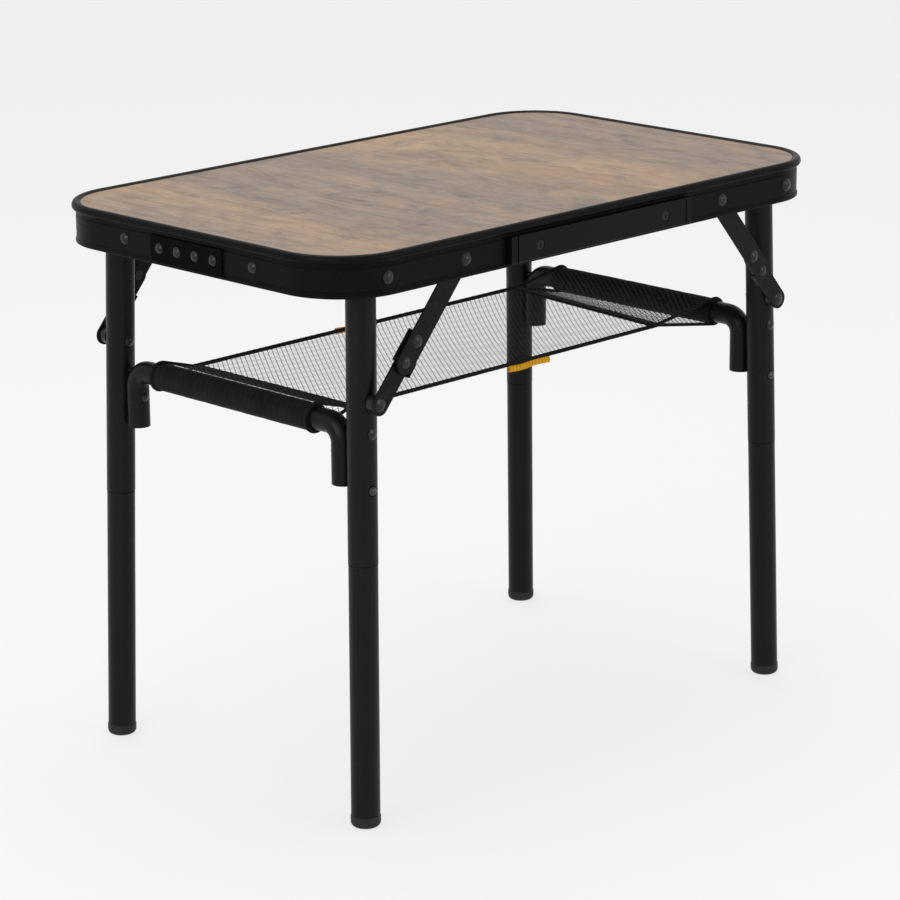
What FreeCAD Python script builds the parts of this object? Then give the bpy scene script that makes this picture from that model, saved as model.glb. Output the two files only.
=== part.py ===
"""Folding camp kitchen table: rimmed wood-print top, two folding leg frames, plug-in lower legs, mesh shelf.

Frame: origin on the floor under the middle of the top, +X along the long side, +Z up, millimetres.
Everything that repeats at the four corners is modelled at the front left corner (-X, -Y) and mirrored.
"""
import FreeCAD, Part
import math
import os

V = FreeCAD.Vector

# ---------------------------------------------------------------- driving dimensions
TOP_LENGTH = 560.0
TOP_WIDTH = 340.0
TOP_HEIGHT = 451.0          # top of the rim's bead above the floor
CORNER_RADIUS = 58.0        # outside of the bead
RIM_HEIGHT = 32.5
BEAD_OVERHANG = 3.0         # bead beyond the wall's outer face
BEAD_RADIUS = 3.5
WALL = 1.6
LEDGE_DEPTH = 10.0          # inner ledge that carries the board, from the wall's outer face
LIP_DROP = 1.4              # board surface below the top of the bead
BOARD_THICKNESS = 5.0
SEAM_GAP = 0.4

PIVOT_X = 228.0             # leg pivots
PIVOT_Y = 137.1             # leg axis at pivot height
PIVOT_Z = 432.0
SPLAY_X = 0.0244            # outward lean of the legs, along X and along Y, mm per mm
SPLAY_Y = 0.0182
LEG_OD = 23.0
LEG_ID = 20.6
SEAM_DEPTH = 223.5          # pivot to the joint between upper and lower leg, along the leg
LOWER_OD = 22.6
NECK_OD = 20.4
NECK_ID = 18.0
NECK_LENGTH = 73.0
FOOT_OD = 23.4
FOOT_HEIGHT = 9.0
FOOT_ROUND = 4.0

CROSSBAR_DEPTH = 120.0      # pivot to the crossbar, along the leg
CROSSBAR_OD = 18.0
CROSSBAR_ID = 15.6
CROSSBAR_BEND = 14.0        # centre line radius of the bent ends
CROSSBAR_TAIL = 32.0        # straight part of the bent end
RIVET_RADIUS = 2.0
THROUGH_RIVET_DEPTH = 121.5
BLIND_RIVET_DEPTH = 141.0
SLEEVE_OD = 22.5
SLEEVE_HALF = 91.0

BUTTON_DEPTH = 165.5        # pivot to the snap button, along the leg
BUTTON_RADIUS = 3.5
BUTTON_PROUD = 1.6

BRACE_TOP_X = 146.8         # brace pivot on the rim
BRACE_LEG_DEPTH = 98.0      # pivot to the brace pivot on the leg, along the leg
BRACE_RIVET_RADIUS = 2.4
LINK_THICKNESS = 1.5
LOWER_LINK_Y = 157.6        # inner face of the lower link
UPPER_LINK_Y = 160.5        # inner face of the upper link
UPPER_LINK_HALF = 9.0
LOWER_LINK_HALF = 8.0
UPPER_LINK_TAIL = 28.0      # upper link beyond the knee
PIN_RADIUS = 3.0
KNEE_RADIUS = 2.6
RUNNING = 0.05              # radial clearance of a turning joint
SMALL_GAP = 0.05

NET_HALF_X = 219.0
NET_HALF_Y = 88.0
NET_Z = 312.2
NET_THICKNESS = 2.4
NET_SEAM_LEFT = -195.0
NET_SEAM_RIGHT = 166.0
LOOP_HALF_HEIGHT = 9.0
LOOP_WALL = 1.8
LOOP_STITCH = 6.0
BINDING_RADIUS = 1.8
TAB_HALF = 23.5

# ---------------------------------------------------------------- derived places
WALL_X = TOP_LENGTH / 2 - BEAD_OVERHANG
WALL_Y = TOP_WIDTH / 2 - BEAD_OVERHANG
WALL_RADIUS = CORNER_RADIUS - BEAD_OVERHANG
RIM_BOTTOM = TOP_HEIGHT - RIM_HEIGHT
BOARD_TOP = TOP_HEIGHT - LIP_DROP
BOARD_BOTTOM = BOARD_TOP - BOARD_THICKNESS
LEAN = V(-SPLAY_X, -SPLAY_Y, -1.0).normalize()
LEG_TOP = V(-PIVOT_X, -PIVOT_Y, PIVOT_Z)
LEG_TURN = FreeCAD.Rotation(V(0, 0, -1), LEAN)

CORNERS = {
    "front_left": (-1, -1),
    "rear_left": (-1, 1),
    "front_right": (1, -1),
    "rear_right": (1, 1),
}
SIDES = {"left": -1, "right": 1}


# ---------------------------------------------------------------- small tools
def box(low, high):
    """A box between two corners."""
    size = [high[i] - low[i] for i in range(3)]
    return Part.makeBox(size[0], size[1], size[2], V(*low))


def rod(start, direction, radius, length):
    """A round bar."""
    return Part.makeCylinder(radius, length, start, direction)


def domed_head(start, axis, radius, height):
    """A rivet's domed head, standing on start along axis, its dome a spherical cap."""
    sphere = (radius ** 2 + height ** 2) / (2 * height)
    top = V(0, 0, height)
    half_angle = math.asin(radius / sphere) / 2
    mid = V(sphere * math.sin(half_angle), 0, height - sphere * (1 - math.cos(half_angle)))
    arc = Part.Arc(top, mid, V(radius, 0, 0)).toShape()
    base = Part.LineSegment(V(radius, 0, 0), V(0, 0, 0)).toShape()
    stem = Part.LineSegment(V(0, 0, 0), top).toShape()
    head = Part.Face(Part.Wire([arc, base, stem])).revolve(V(0, 0, 0), V(0, 0, 1), 360)
    head.Placement = FreeCAD.Placement(start, FreeCAD.Rotation(V(0, 0, 1), axis))
    return head


def tube(start, direction, outer, inner, length):
    """A round tube given by its diameters."""
    return rod(start, direction, outer / 2, length).cut(rod(start, direction, inner / 2, length))


def mirrored(shape, sx, sy):
    """The front left corner's shape, carried to the corner with these signs."""
    if sx > 0:
        shape = shape.mirror(V(0, 0, 0), V(1, 0, 0))
    if sy > 0:
        shape = shape.mirror(V(0, 0, 0), V(0, 1, 0))
    return shape


def on_leg(shape):
    """Carries a shape from the leg's own frame (pivot at the origin, leg down -Z) to the leaning leg."""
    placed = shape.copy()
    placed.Placement = FreeCAD.Placement(LEG_TOP, LEG_TURN).multiply(placed.Placement)
    return placed


def leg_axis_at(depth):
    """The point on the leg's axis at this distance below the pivot."""
    return LEG_TOP + LEAN * depth


def save(name, solids):
    """Writes one sub-part: a single solid, or a group of like solids."""
    shape = solids if not isinstance(solids, list) else Part.makeCompound(solids)
    for solid in shape.Solids:
        if not solid.isValid():
            print("not valid:", name)
    shape.exportStep("parts/%s.step" % name)


def rounded_plate(half_x, half_y, radius, z, height):
    """A plate with four rounded corners, centred on the Z axis."""
    plate = box((-half_x, -half_y, z), (half_x, half_y, z + height))
    upright = [e for e in plate.Edges if abs(e.tangentAt(e.FirstParameter).z) > 0.9]
    return plate.makeFillet(radius, upright)


# ---------------------------------------------------------------- the top
def rim_profile():
    """The rim's section: u outward from the wall's outer face, z up."""
    bead_u = BEAD_OVERHANG - BEAD_RADIUS
    bead_z = TOP_HEIGHT - BEAD_RADIUS
    foot = RIM_BOTTOM
    right = V(bead_u + BEAD_RADIUS, 0, bead_z)
    top = V(bead_u, 0, TOP_HEIGHT)
    left = V(bead_u - BEAD_RADIUS, 0, BOARD_TOP)
    low = V(0, 0, bead_z - BEAD_RADIUS)
    slant = math.sqrt(0.5) * BEAD_RADIUS
    edges = [
        Part.Arc(low, V(bead_u + slant + 0.35, 0, bead_z - slant), right).toShape(),
        Part.Arc(right, V(bead_u + slant, 0, bead_z + slant), top).toShape(),
        Part.Arc(top, V(bead_u - 2.0, 0, TOP_HEIGHT - 0.48), left).toShape(),
    ]
    inner = [
        left,
        V(-WALL - 0.3, 0, BOARD_TOP),
        V(-WALL - 0.3, 0, BOARD_BOTTOM),
        V(-LEDGE_DEPTH, 0, BOARD_BOTTOM),
        V(-LEDGE_DEPTH, 0, BOARD_BOTTOM - WALL),
        V(-WALL, 0, BOARD_BOTTOM - WALL),
        V(-WALL, 0, foot),
        V(0.4, 0, foot),
    ]
    # outside of the wall, from the foot up: bulged lower bead, groove, flat band, groove
    outer = [
        V(0.4, 0, foot),
        V(0.7, 0, foot + 0.5),
        V(0.7, 0, foot + 2.2),
        V(0.0, 0, foot + 2.8),
        V(-0.5, 0, foot + 3.3),
        V(-0.5, 0, foot + 4.3),
        V(0.0, 0, foot + 4.8),
        V(0.0, 0, foot + 21.6),
        V(-0.5, 0, foot + 22.1),
        V(-0.5, 0, foot + 23.1),
        V(0.0, 0, foot + 23.6),
        low,
    ]
    chain = inner + outer[1:]
    edges += [Part.LineSegment(a, b).toShape() for a, b in zip(chain[:-1], chain[1:])]
    return Part.Face(Part.Wire(Part.__sortEdges__(edges)))


def rim_holes():
    """Holes in the wall for the leg pins and brace pins, front and rear."""
    holes = []
    for x in (PIVOT_X, BRACE_TOP_X):
        for sx in (-1, 1):
            holes.append(rod(V(sx * x, -WALL_Y - 5, PIVOT_Z), V(0, 1, 0), PIN_RADIUS, TOP_WIDTH))
    return holes


def make_rim():
    """Straight runs are extruded and corners turned from one section, then joined; the ends meet at -X."""
    profile = rim_profile()
    straight_x = WALL_X - WALL_RADIUS
    straight_y = WALL_Y - WALL_RADIUS
    pieces = []
    for turn, offset, run in ((0, WALL_X, straight_y), (90, WALL_Y, straight_x),
                              (180, WALL_X, straight_y), (270, WALL_Y, straight_x)):
        side = profile.copy()
        side.translate(V(offset, -run, 0))
        side = side.extrude(V(0, 2 * run, 0))
        side.rotate(V(0, 0, 0), V(0, 0, 1), turn)
        corner = profile.copy()
        corner.translate(V(WALL_RADIUS, 0, 0))
        corner = corner.revolve(V(0, 0, 0), V(0, 0, 1), 90)
        corner.rotate(V(0, 0, 0), V(0, 0, 1), turn)
        angle = math.radians(turn + 45)
        corner.translate(V(math.copysign(straight_x, math.cos(angle)),
                           math.copysign(straight_y, math.sin(angle)), 0))
        pieces += [side, corner]
    rim = pieces[0].multiFuse(pieces[1:])
    for hole in rim_holes():
        rim = rim.cut(hole)
    seam = box((-WALL_X - 8, -SEAM_GAP / 2, RIM_BOTTOM - 1),
               (-WALL_X + LEDGE_DEPTH + 1, SEAM_GAP / 2, TOP_HEIGHT + 1))
    rim = rim.cut(seam)
    save("rim_frame", rim)
    return rim


def make_board():
    """Thin board held between the ledge and the bead's lip."""
    inset = WALL + 0.6
    board = rounded_plate(WALL_X - inset, WALL_Y - inset, WALL_RADIUS - inset,
                          BOARD_BOTTOM + SMALL_GAP, BOARD_THICKNESS - 2 * SMALL_GAP)
    save("tabletop_board", board)


def wall_rivet(point, axis, radius, proud, shank):
    """A domed rivet in the rim's wall, its shank reaching inwards with a small upset end."""
    head = domed_head(point, axis, radius, proud)
    stem = rod(point, axis * -1, shank, WALL + 1.2)
    upset = rod(point - axis * (WALL + 0.1), axis * -1, shank + 1.2, 1.1)
    return head.fuse(stem).fuse(upset)


def make_splice():
    """Plate over the rim's joint with four rivets, and the single rivets either side of it."""
    plate_half = 41.0
    plate_low = RIM_BOTTOM + 3.0
    plate_high = plate_low + 20.0
    plate_thickness = 1.6
    rivet_z = RIM_BOTTOM + 13.3
    face = -WALL_X - SMALL_GAP - plate_thickness
    plate = box((face, -plate_half, plate_low), (-WALL_X - SMALL_GAP, plate_half, plate_high))
    ends = [e for e in plate.Edges if abs(e.tangentAt(e.FirstParameter).x) > 0.9]
    plate = plate.makeFillet(2.0, ends)
    front = [e for e in plate.Edges if abs(e.CenterOfMass.x - face) < 0.01]
    plate = plate.makeFillet(0.5, front)
    rivets = []
    for y in (-30.6, -10.2, 10.2, 30.6):
        start = V(face, y, rivet_z)
        plate = plate.cut(rod(start, V(1, 0, 0), 2.0, 5))
        head = domed_head(start, V(-1, 0, 0), 4.2, 2.1)
        rivets.append(head.fuse(rod(start, V(1, 0, 0), 1.9, plate_thickness)))
    save("rim_splice_plate", plate)
    save("rim_splice_rivets", rivets)
    side_rivets = []
    for sx in (-1, 1):
        for y in (-73.0, 73.0):
            start = V(sx * (WALL_X + SMALL_GAP), y, rivet_z + 1)
            side_rivets.append(domed_head(start, V(sx, 0, 0), 4.6, 2.3))
    save("rim_side_rivets", side_rivets)


def make_handle():
    """Shallow channel on the front long side, held off the wall by two spacers and screwed through them."""
    half = 104.0
    low = RIM_BOTTOM + 2.6
    high = low + 20.8
    face = -WALL_Y - 5.3
    web = 2.0
    flange = 1.5
    back = -WALL_Y - 1.4
    screw_x = 72.0
    screw_z = (low + high) / 2
    handle = box((-half, face, low), (half, back, high))
    handle = handle.cut(box((-half + 9, face + web, low + flange), (half - 9, back + 1, high - flange)))
    round_edges = [e for e in handle.Edges
                   if abs(e.CenterOfMass.y - face) < 0.01 and abs(e.tangentAt(e.FirstParameter).x) > 0.9]
    handle = handle.makeFillet(1.0, round_edges)
    for sx in (-1, 1):
        handle = handle.cut(box((sx * half - 0.6, face - 1, low - 1), (sx * half + 0.6, face + 1.0, high + 1)))
        step = box((min(sx * 97, sx * 95.8), face - 1, low - 1), (max(sx * 97, sx * 95.8), face + 0.6, high + 1))
        handle = handle.cut(step)
        handle = handle.cut(rod(V(sx * screw_x, face - 1, screw_z), V(0, 1, 0), 4.4, 2.2))
        handle = handle.cut(rod(V(sx * screw_x, face - 1, screw_z), V(0, 1, 0), 2.1, 8))
    save("carry_handle", handle)
    screws = []
    spacers = []
    for sx in (-1, 1):
        start = V(sx * screw_x, face + 1.2, screw_z)
        head = rod(start, V(0, -1, 0), 4.0, 0.9)
        socket = box((sx * screw_x - 2.4, face - 1, screw_z - 0.5), (sx * screw_x + 2.4, face + 0.9, screw_z + 0.5))
        cross = box((sx * screw_x - 0.5, face - 1, screw_z - 2.4), (sx * screw_x + 0.5, face + 0.9, screw_z + 2.4))
        shank = rod(start, V(0, 1, 0), 2.0, -WALL_Y - start.y - SMALL_GAP)
        screws.append(head.cut(socket).cut(cross).fuse(shank))
        spacers.append(tube(V(sx * screw_x, face + web + SMALL_GAP, screw_z), V(0, 1, 0), 10.0, 4.2,
                            -WALL_Y - SMALL_GAP * 2 - face - web))
    save("handle_screws", screws)
    save("handle_spacers", spacers)


# ---------------------------------------------------------------- the leg frames
def leg_pin_length():
    """From the wall's outer face to the leg's inner side."""
    return WALL_Y - (PIVOT_Y - LEG_OD / 2) + 1.6


def make_leg_pins(rim):
    """Pins that the leg frames turn on, with the bushes that hold the legs off the wall.

    The wall has begun to curve there, so each head has a base that fits its outer face.
    """
    pins = []
    bushes = []
    for sx, sy in CORNERS.values():
        start = V(-PIVOT_X, -WALL_Y - SMALL_GAP, PIVOT_Z)
        pin = domed_head(start, V(0, -1, 0), 5.2, 2.4)
        pin = pin.fuse(rod(start, V(0, 1, 0), 5.2, 1.4).cut(rim))
        pin = pin.fuse(rod(start, V(0, 1, 0), PIN_RADIUS, leg_pin_length()))
        pin = pin.fuse(domed_head(start + V(0, leg_pin_length() - 1.0, 0), V(0, 1, 0), 5.0, 1.6))
        pins.append(mirrored(pin, sx, sy))
        bush_start = -WALL_Y + WALL + 1.25
        bush_end = -PIVOT_Y - LEG_OD / 2 - 0.5
        bush = tube(V(-PIVOT_X, bush_start, PIVOT_Z), V(0, 1, 0), 10.0, 2 * PIN_RADIUS + 0.1,
                    bush_end - bush_start)
        bushes.append(mirrored(bush, sx, sy))
    save("leg_pivot_pins", pins)
    save("leg_pivot_bushes", bushes)


def upper_leg():
    """Upper tube in the leg's own frame: rounded top end, pin hole, rivet holes, dished button hole."""
    reach = LEG_OD / 2 + 0.3
    body = rod(V(0, 0, reach + 4), V(0, 0, -1), LEG_OD / 2, SEAM_DEPTH + reach + 4)
    bore = rod(V(0, 0, reach + 5), V(0, 0, -1), LEG_ID / 2, SEAM_DEPTH + reach + 6)
    shell = body.cut(bore)
    round_end = rod(V(0, -LEG_OD, 0), V(0, 1, 0), reach, 2 * LEG_OD)
    round_end = round_end.fuse(box((-LEG_OD, -LEG_OD, -SEAM_DEPTH - 1), (LEG_OD, LEG_OD, 0)))
    shell = shell.common(round_end)
    hole = rod(V(0, -LEG_OD, -BUTTON_DEPTH), V(0, 1, 0), BUTTON_RADIUS + 0.25, LEG_OD)
    dish = Part.makeCone(BUTTON_RADIUS + 2.6, BUTTON_RADIUS + 0.2, 1.6,
                         V(0, -LEG_OD / 2 - 0.6, -BUTTON_DEPTH), V(0, 1, 0))
    return shell.cut(hole).cut(dish)


def leg_plug():
    """Plastic plug that closes the top of the upper tube and carries the pin."""
    depth = 16.0
    plug = rod(V(0, 0, 14), V(0, 0, -1), LEG_ID / 2 - 0.02, depth + 14)
    dome = rod(V(0, -LEG_OD, 0), V(0, 1, 0), LEG_OD / 2 + 0.2, 2 * LEG_OD)
    dome = dome.fuse(box((-LEG_OD, -LEG_OD, -depth), (LEG_OD, LEG_OD, 0)))
    return plug.common(dome)


def lower_leg():
    """Lower tube with its swaged neck, in the leg's own frame, running past the floor to be trimmed."""
    floor_depth = PIVOT_Z + 20
    outer_length = floor_depth - SEAM_DEPTH
    neck_top = SEAM_DEPTH - NECK_LENGTH
    neck = rod(V(0, 0, -neck_top), V(0, 0, -1), NECK_OD / 2, NECK_LENGTH + 2)
    main = rod(V(0, 0, -SEAM_DEPTH - 0.3), V(0, 0, -1), LOWER_OD / 2, outer_length)
    edge = [e for e in main.Edges if abs(e.CenterOfMass.z + SEAM_DEPTH + 0.3) < 0.01 and e.Closed]
    main = main.makeFillet(0.7, edge[:1])
    body = neck.fuse(main)
    body = body.cut(rod(V(0, 0, -neck_top + 1), V(0, 0, -1), NECK_ID / 2, floor_depth))
    return body.cut(rod(V(0, -LEG_OD, -BUTTON_DEPTH), V(0, 1, 0), BUTTON_RADIUS + 0.25, LEG_OD))


def foot_cap():
    """Moulded cap round the lower end, with a rounded bottom edge and a plug inside the tube."""
    shoe_top = PIVOT_Z / abs(LEAN.z) - FOOT_HEIGHT
    shoe = rod(V(0, 0, -shoe_top), V(0, 0, -1), FOOT_OD / 2, 30)
    plug = rod(V(0, 0, -shoe_top + 14), V(0, 0, -1), NECK_ID / 2 - 0.02, 20)
    return shoe.fuse(plug)


def cross_hole(point, radius):
    """A cutter for a hole right across a leg, square to the table's long side."""
    return rod(V(point.x, point.y - LEG_OD, point.z), V(0, 1, 0), radius, 2 * LEG_OD)


def drilled_upper_leg():
    """Upper tube in place, with its pin hole and the holes for the brace and crossbar rivets."""
    leg = on_leg(upper_leg())
    holes = ((0.0, PIN_RADIUS + RUNNING), (BRACE_LEG_DEPTH, BRACE_RIVET_RADIUS),
             (THROUGH_RIVET_DEPTH, RIVET_RADIUS), (BLIND_RIVET_DEPTH, RIVET_RADIUS))
    for depth, radius in holes:
        cutter = cross_hole(leg_axis_at(depth), radius)
        if depth == BLIND_RIVET_DEPTH:
            cutter = cutter.common(box((-400, leg_axis_at(depth).y, 0), (0, 0, 500)))
        leg = leg.cut(cutter)
    return leg


def trim_to_floor(shape, height):
    """Cuts everything below this height."""
    return shape.cut(box((-400, -400, height - 100), (400, 400, height)))


def rounded_foot(shape):
    """Rounds the trimmed cap's bottom edge and its upper edge."""
    bottom = [e for e in shape.Edges if e.BoundBox.ZMax < 0.01]
    shape = shape.makeFillet(FOOT_ROUND, bottom)
    rim_edges = [e for e in shape.Edges
                 if e.Closed and abs(e.BoundBox.XLength - FOOT_OD) < 0.3 and e.BoundBox.ZMin > FOOT_HEIGHT - 2]
    return shape.makeFillet(0.5, rim_edges) if rim_edges else shape


def snap_button():
    """Button on its flanged stem, in the leg's own frame, pointing to the outside of the leg."""
    tip = LEG_OD / 2 + BUTTON_PROUD
    dome_height = 1.9
    stem_top = V(0, -(tip - dome_height), -BUTTON_DEPTH)
    stem_base = 5.2
    stem = rod(V(0, -stem_base, -BUTTON_DEPTH), V(0, -1, 0), BUTTON_RADIUS, tip - dome_height - stem_base)
    flange = rod(V(0, -stem_base, -BUTTON_DEPTH), V(0, -1, 0), BUTTON_RADIUS + 1.2, 1.2)
    return stem.fuse(flange).fuse(domed_head(stem_top, V(0, -1, 0), BUTTON_RADIUS, dome_height))


def button_spring():
    """Leaf spring folded into a V inside the neck, pressing the button outwards."""
    thickness = 0.8
    half_width = 3.0
    foot = -BUTTON_DEPTH - 8
    top = -BUTTON_DEPTH + 12
    points = [V(-half_width, -4.2, foot), V(-half_width, -4.2, foot + 16), V(-half_width, 5.0, top),
              V(-half_width, 7.2, foot + 4)]
    leaf = []
    for a, b in zip(points[:-1], points[1:]):
        along = b - a
        side = V(0, -along.z, along.y).normalize() * thickness
        face = Part.Face(Part.makePolygon([a, b, b + side, a + side, a]))
        leaf.append(face.extrude(V(2 * half_width, 0, 0)))
    for p in points[1:-1]:
        leaf.append(rod(p, V(1, 0, 0), thickness, 2 * half_width))
    return leaf[0].multiFuse(leaf[1:])


def make_legs():
    """Four legs: upper tube, lower tube, foot cap, button and spring."""
    for corner, (sx, sy) in CORNERS.items():
        save("upper_leg_" + corner, mirrored(drilled_upper_leg(), sx, sy))
        save("lower_leg_" + corner, mirrored(trim_to_floor(on_leg(lower_leg()), 3.0), sx, sy))
        cap = trim_to_floor(on_leg(foot_cap()), 0.0)
        cap = rounded_foot(cap).cut(on_leg(lower_leg()).common(box((-400, -400, 3.0), (400, 400, 100))))
        save("foot_cap_" + corner, mirrored(cap, sx, sy))
        save("snap_button_" + corner, mirrored(on_leg(snap_button()), sx, sy))
        save("button_spring_" + corner, mirrored(on_leg(button_spring()), sx, sy))


def crossbar_path(corner_y, centre):
    """Centre line from the middle of the table to the bent end's tip, on the front half."""
    elbow_y = corner_y + CROSSBAR_BEND
    down = math.sqrt(0.5) * CROSSBAR_BEND
    start = V(centre.x, 0, centre.z)
    bend_start = V(centre.x, elbow_y, centre.z)
    bend_mid = V(centre.x, elbow_y - down, centre.z - CROSSBAR_BEND + down)
    bend_end = V(centre.x, corner_y, centre.z - CROSSBAR_BEND)
    tip = bend_end + V(0, 0, -CROSSBAR_TAIL)
    return [
        Part.LineSegment(start, bend_start).toShape(),
        Part.Arc(bend_start, bend_mid, bend_end).toShape(),
        Part.LineSegment(bend_end, tip).toShape(),
    ]


def swept(path_edges, radius):
    """A round section carried along a path."""
    wire = Part.Wire(path_edges)
    start = wire.Edges[0].Vertexes[0].Point
    ring = Part.Wire(Part.makeCircle(radius, start, V(0, -1, 0)))
    return wire.makePipeShell([ring], True, False)


def make_crossbars():
    """Tube across each leg frame with both ends bent down along the legs, and its rivets and sleeve."""
    centre = leg_axis_at(CROSSBAR_DEPTH)
    inner_face = centre.y + LEG_OD / 2
    corner_y = inner_face + CROSSBAR_OD / 2 + 0.35
    path = crossbar_path(corner_y, centre)
    half = swept(path, CROSSBAR_OD / 2).cut(swept(path, CROSSBAR_ID / 2))
    bar = half.fuse(half.mirror(V(0, 0, 0), V(0, 1, 0)))
    through = leg_axis_at(THROUGH_RIVET_DEPTH)
    blind = leg_axis_at(BLIND_RIVET_DEPTH)
    outer_face = through.y - LEG_OD / 2
    long_rivet = domed_head(V(through.x, outer_face - SMALL_GAP, through.z), V(0, -1, 0), 4.4, 1.4)
    long_rivet = long_rivet.fuse(rod(V(through.x, outer_face - SMALL_GAP, through.z), V(0, 1, 0), RIVET_RADIUS, LEG_OD + 3.5))
    bar_inner = corner_y + CROSSBAR_OD / 2
    short_rivet = domed_head(V(blind.x, bar_inner + 0.02, blind.z), V(0, 1, 0), 3.6, 1.5)
    short_rivet = short_rivet.fuse(rod(V(blind.x, bar_inner, blind.z), V(0, -1, 0), RIVET_RADIUS, CROSSBAR_OD + 3.0))
    for rivet in (through, blind):
        bar = bar.cut(rod(V(rivet.x, -WALL_Y, rivet.z), V(0, 1, 0), RIVET_RADIUS, 2 * WALL_Y))
    for side, sx in SIDES.items():
        save(side + "_crossbar", mirrored(bar, sx, -1))
        rivets = [mirrored(r, sx, sy) for sy in (-1, 1) for r in (long_rivet, short_rivet)]
        save(side + "_crossbar_rivets", rivets)
        sleeve = tube(V(centre.x, -SLEEVE_HALF, centre.z), V(0, 1, 0), SLEEVE_OD, CROSSBAR_OD + 0.2,
                      2 * SLEEVE_HALF)
        save(side + "_shelf_sleeve", mirrored(sleeve, sx, -1))
        plug = on_leg(leg_plug()).cut(cross_hole(LEG_TOP, PIN_RADIUS + RUNNING))
        save(side + "_leg_plugs", [mirrored(plug, sx, sy) for sy in (-1, 1)])
        save(side + "_brace_leg_rivets", [mirrored(r, sx, sy) for sy in (-1, 1) for r in brace_leg_rivet()])


# ---------------------------------------------------------------- the braces
BRACE_TOP = V(-BRACE_TOP_X, 0, PIVOT_Z)
BRACE_FOOT = V(leg_axis_at(BRACE_LEG_DEPTH).x, 0, leg_axis_at(BRACE_LEG_DEPTH).z)
FLAT_SPAN = BRACE_LEG_DEPTH * math.sqrt(1 - LEAN.y ** 2) - (PIVOT_X - BRACE_TOP_X)
BRACE_SPAN = (BRACE_FOOT - BRACE_TOP).Length
UPPER_LINK_LENGTH = (BRACE_SPAN + FLAT_SPAN) / 2
LOWER_LINK_LENGTH = BRACE_SPAN - UPPER_LINK_LENGTH
BRACE_DIRECTION = (BRACE_FOOT - BRACE_TOP).normalize()
KNEE = BRACE_TOP + BRACE_DIRECTION * UPPER_LINK_LENGTH


def along_brace(shape, origin):
    """Carries a link drawn flat (x along the brace, z across, y the plate's normal) to the brace line."""
    placed = shape.copy()
    turn = FreeCAD.Rotation(V(1, 0, 0), BRACE_DIRECTION)
    placed.Placement = FreeCAD.Placement(origin, turn)
    return placed


def strap(start, end, half, outer_y):
    """A flat bar with round ends between two points on the x axis, its outer face at -outer_y."""
    thickness = LINK_THICKNESS
    bar = box((start, -outer_y, -half), (end, -outer_y + thickness, half))
    for x in (start, end):
        bar = bar.fuse(rod(V(x, -outer_y, 0), V(0, 1, 0), half, thickness))
    return bar.removeSplitter()


def upper_link():
    """Upper brace link, drawn from its pivot on the rim: strap with a stop edge folded inwards past the knee."""
    outer = UPPER_LINK_Y + LINK_THICKNESS
    tail_centre = UPPER_LINK_LENGTH + UPPER_LINK_TAIL - UPPER_LINK_HALF
    link = strap(0, tail_centre, UPPER_LINK_HALF, outer)
    edge = box((UPPER_LINK_LENGTH + 14, -outer, UPPER_LINK_HALF - 0.2),
               (UPPER_LINK_LENGTH + 26, -LOWER_LINK_Y, UPPER_LINK_HALF + 1.2))
    link = link.fuse(edge)
    link = link.cut(rod(V(0, -outer - 1, 0), V(0, 1, 0), PIN_RADIUS + RUNNING, 6))
    link = link.cut(rod(V(UPPER_LINK_LENGTH, -outer - 1, 0), V(0, 1, 0), KNEE_RADIUS, 4))
    return link.cut(rod(V(UPPER_LINK_LENGTH + 18.5, -outer - 1, 0), V(0, 1, 0), 2.0, 3))


def lower_link():
    """Lower brace link, drawn from the knee: strap with a stiffening edge folded inwards on the corner side."""
    outer = LOWER_LINK_Y + LINK_THICKNESS
    link = strap(0, LOWER_LINK_LENGTH, LOWER_LINK_HALF, outer)
    edge = box((-5, -outer, -LOWER_LINK_HALF - 1.6), (22, -outer + LINK_THICKNESS + 0.9, -LOWER_LINK_HALF + 0.4))
    link = link.fuse(edge)
    link = link.cut(rod(V(0, -outer - 1, 0), V(0, 1, 0), KNEE_RADIUS + RUNNING, 4))
    return link.cut(rod(V(LOWER_LINK_LENGTH, -outer - 1, 0), V(0, 1, 0), PIN_RADIUS, 4))


def knee_rivets():
    """Rivet through both links at the knee with a washer between them, and the stop rivet in the tail."""
    outer = UPPER_LINK_Y + LINK_THICKNESS
    washer_low = LOWER_LINK_Y + LINK_THICKNESS + SMALL_GAP
    knee = domed_head(V(UPPER_LINK_LENGTH, -outer - 0.02, 0), V(0, -1, 0), 5.0, 2.0)
    knee = knee.fuse(rod(V(UPPER_LINK_LENGTH, -outer, 0), V(0, 1, 0), KNEE_RADIUS, outer - LOWER_LINK_Y + 0.7))
    knee = knee.fuse(rod(V(UPPER_LINK_LENGTH, -UPPER_LINK_Y + 0.02, 0), V(0, 1, 0), 5.5,
                         UPPER_LINK_Y - washer_low - 0.02))
    knee = knee.fuse(rod(V(UPPER_LINK_LENGTH, -LOWER_LINK_Y + SMALL_GAP, 0), V(0, 1, 0), 4.0, 0.7))
    stop = domed_head(V(UPPER_LINK_LENGTH + 18.5, -outer - 0.02, 0), V(0, -1, 0), 4.2, 1.6)
    stop = stop.fuse(rod(V(UPPER_LINK_LENGTH + 18.5, -outer, 0), V(0, 1, 0), 2.0, LINK_THICKNESS + 0.4))
    return [knee, stop]


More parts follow.
